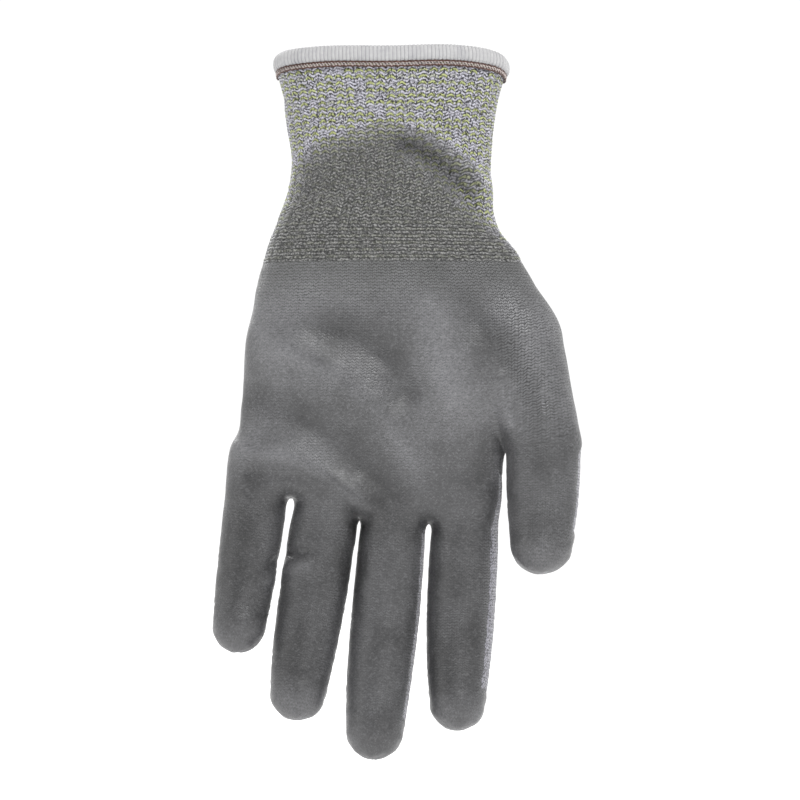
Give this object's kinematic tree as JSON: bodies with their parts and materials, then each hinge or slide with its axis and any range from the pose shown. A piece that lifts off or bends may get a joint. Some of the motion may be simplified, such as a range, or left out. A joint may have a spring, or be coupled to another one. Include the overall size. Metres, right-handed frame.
{
  "type": "cut resistant glove",
  "caption": "Left-hand cut resistant work glove: seamless flecked knit liner, grey coating dipped over the palm and fingers, ribbed cuff with an overlocked hem; fingers, thumb and wrist bend.",
  "frame": {"origin": "centre of the mouth of the cuff, where the hand goes in", "axes": "+Z out of the mouth of the cuff, so the fingers hang towards -Z; -Y out of the palm, +Y out of the back of the hand; +X towards the thumb"},
  "size_m": [0.125, 0.0504, 0.2452],
  "materials": {
    "knit_liner": "seamless knit of pale grey and black flecked yarn",
    "rib_knit": "knit rib of white and black flecked yarn with yellow-green plating",
    "dipped_coating": "thin matt grey polyurethane dip",
    "elastic_thread": "covered elastic thread",
    "hem_thread": "white overlock thread, tightly packed",
    "brown_thread": "dark brown chain of thread"
  },
  "bodies": {
    "cuff": {"cuff_knit": "rib_knit", "cuff_coating": "dipped_coating", "cuff_elastic": "elastic_thread", "hem_overlock": "hem_thread", "hem_stitching": "brown_thread"},
    "palm": {"palm_liner": "knit_liner", "palm_coating": "dipped_coating", "wrist_knit": "rib_knit", "wrist_coating": "dipped_coating", "wrist_elastic": "elastic_thread"},
    "index_base": {"index_base_liner": "knit_liner", "index_base_coating": "dipped_coating"},
    "index_middle": {"index_middle_liner": "knit_liner", "index_middle_coating": "dipped_coating"},
    "index_tip": {"index_tip_liner": "knit_liner", "index_tip_coating": "dipped_coating"},
    "middle_base": {"middle_base_liner": "knit_liner", "middle_base_coating": "dipped_coating"},
    "middle_middle": {"middle_middle_liner": "knit_liner", "middle_middle_coating": "dipped_coating"},
    "middle_tip": {"middle_tip_liner": "knit_liner", "middle_tip_coating": "dipped_coating"},
    "ring_base": {"ring_base_liner": "knit_liner", "ring_base_coating": "dipped_coating"},
    "ring_middle": {"ring_middle_liner": "knit_liner", "ring_middle_coating": "dipped_coating"},
    "ring_tip": {"ring_tip_liner": "knit_liner", "ring_tip_coating": "dipped_coating"},
    "little_base": {"little_base_liner": "knit_liner", "little_base_coating": "dipped_coating"},
    "little_middle": {"little_middle_liner": "knit_liner", "little_middle_coating": "dipped_coating"},
    "little_tip": {"little_tip_liner": "knit_liner", "little_tip_coating": "dipped_coating"},
    "thumb_base": {"thumb_base_liner": "knit_liner", "thumb_base_coating": "dipped_coating"},
    "thumb_tip": {"thumb_tip_liner": "knit_liner", "thumb_tip_coating": "dipped_coating"}
  },
  "joints": [
    {"name": "wrist_bend", "type": "hinge", "parent": "cuff", "child": "palm", "pos_m": [0, 0, -0.044], "axis": [-1, 0, 0], "range_deg": [-40, 40], "stiffness_Nm_per_rad": 0.06},
    {"name": "index_base_bend", "type": "hinge", "parent": "palm", "child": "index_base", "pos_m": [0.025, 0, -0.1725], "axis": [-0.9987, 0, 0.0506], "range_deg": [-12, 68], "stiffness_Nm_per_rad": 0.005},
    {"name": "index_middle_bend", "type": "hinge", "parent": "index_base", "child": "index_middle", "pos_m": [0.02389, -0.00153, -0.19442], "axis": [-0.9987, 0, 0.0506], "range_deg": [-8, 78], "stiffness_Nm_per_rad": 0.005},
    {"name": "index_tip_bend", "type": "hinge", "parent": "index_middle", "child": "index_tip", "pos_m": [0.02287, -0.0058, -0.21444], "axis": [-0.9987, 0, 0.0506], "range_deg": [-7, 35], "stiffness_Nm_per_rad": 0.005},
    {"name": "middle_base_bend", "type": "hinge", "parent": "palm", "child": "middle_base", "pos_m": [0.001, 0, -0.1725], "axis": [-0.9956, 0, 0.0941], "range_deg": [-12, 68], "stiffness_Nm_per_rad": 0.005},
    {"name": "middle_middle_bend", "type": "hinge", "parent": "middle_base", "child": "middle_middle", "pos_m": [-0.00144, -0.00181, -0.19832], "axis": [-0.9956, 0, 0.0941], "range_deg": [-8, 78], "stiffness_Nm_per_rad": 0.005},
    {"name": "middle_tip_bend", "type": "hinge", "parent": "middle_middle", "child": "middle_tip", "pos_m": [-0.00365, -0.0068, -0.22169], "axis": [-0.9956, 0, 0.0941], "range_deg": [-7, 35], "stiffness_Nm_per_rad": 0.005},
    {"name": "ring_base_bend", "type": "hinge", "parent": "palm", "child": "ring_base", "pos_m": [-0.0233, 0, -0.17], "axis": [-0.9888, 0, 0.1495], "range_deg": [-12, 68], "stiffness_Nm_per_rad": 0.005},
    {"name": "ring_middle_bend", "type": "hinge", "parent": "ring_base", "child": "ring_middle", "pos_m": [-0.02651, -0.0015, -0.19121], "axis": [-0.9888, 0, 0.1495], "range_deg": [-8, 78], "stiffness_Nm_per_rad": 0.005},
    {"name": "ring_tip_bend", "type": "hinge", "parent": "ring_middle", "child": "ring_tip", "pos_m": [-0.02951, -0.00576, -0.21103], "axis": [-0.9888, 0, 0.1495], "range_deg": [-7, 35], "stiffness_Nm_per_rad": 0.005},
    {"name": "little_base_bend", "type": "hinge", "parent": "palm", "child": "little_base", "pos_m": [-0.0459, 0, -0.162], "axis": [-0.9921, 0, 0.1253], "range_deg": [-12, 65], "stiffness_Nm_per_rad": 0.005},
    {"name": "little_middle_bend", "type": "hinge", "parent": "little_base", "child": "little_middle", "pos_m": [-0.04796, -0.00115, -0.17833], "axis": [-0.9921, 0, 0.1253], "range_deg": [-8, 66], "stiffness_Nm_per_rad": 0.005},
    {"name": "little_tip_bend", "type": "hinge", "parent": "little_middle", "child": "little_tip", "pos_m": [-0.0498, -0.00427, -0.19289], "axis": [-0.9921, 0, 0.1253], "range_deg": [-7, 30], "stiffness_Nm_per_rad": 0.005},
    {"name": "thumb_base_bend", "type": "hinge", "parent": "palm", "child": "thumb_base", "pos_m": [0.0526, -0.005, -0.1377], "axis": [-0.9781, 0.2079, 0], "range_deg": [-10, 40], "stiffness_Nm_per_rad": 0.008},
    {"name": "thumb_tip_bend", "type": "hinge", "parent": "thumb_base", "child": "thumb_tip", "pos_m": [0.0522, -0.00689, -0.1561], "axis": [-0.9781, 0.2079, 0], "range_deg": [-8, 50], "stiffness_Nm_per_rad": 0.008}
  ]
}
